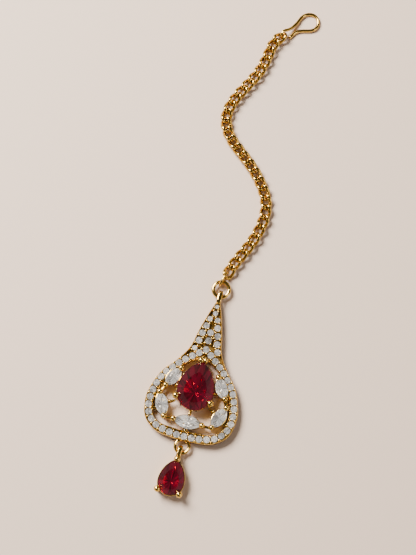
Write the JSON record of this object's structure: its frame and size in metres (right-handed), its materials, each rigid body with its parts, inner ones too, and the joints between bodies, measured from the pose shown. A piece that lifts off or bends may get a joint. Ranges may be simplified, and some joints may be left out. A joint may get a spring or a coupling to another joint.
{
  "type": "maang tikka",
  "caption": "Forehead ornament: a paved teardrop pendant with a pear stone, marquise accents, a hanging pear drop, a curb chain and a wire hair hook.",
  "frame": {"origin": "middle of the neck of the pendant, on its flat back", "axes": "+Y along the pendant from the drop towards the hook, +Z out of the face, away from the surface it lies on"},
  "size_m": [0.0224, 0.1282, 0.0047],
  "materials": {
    "gold": "polished antique gold plate",
    "ruby": "faceted deep red glass",
    "crystal": "faceted clear crystal"
  },
  "bodies": {
    "root": {"pendant_frame": "gold", "centre_stone": "ruby", "marquise_bottom": "crystal", "marquise_lower_right": "crystal", "marquise_lower_left": "crystal", "marquise_upper_right": "crystal", "marquise_upper_left": "crystal", "chain_ring": "gold", "chain": "gold", "hook": "gold", "drop_setting": "gold", "drop_stone": "ruby"}
  },
  "joints": []
}
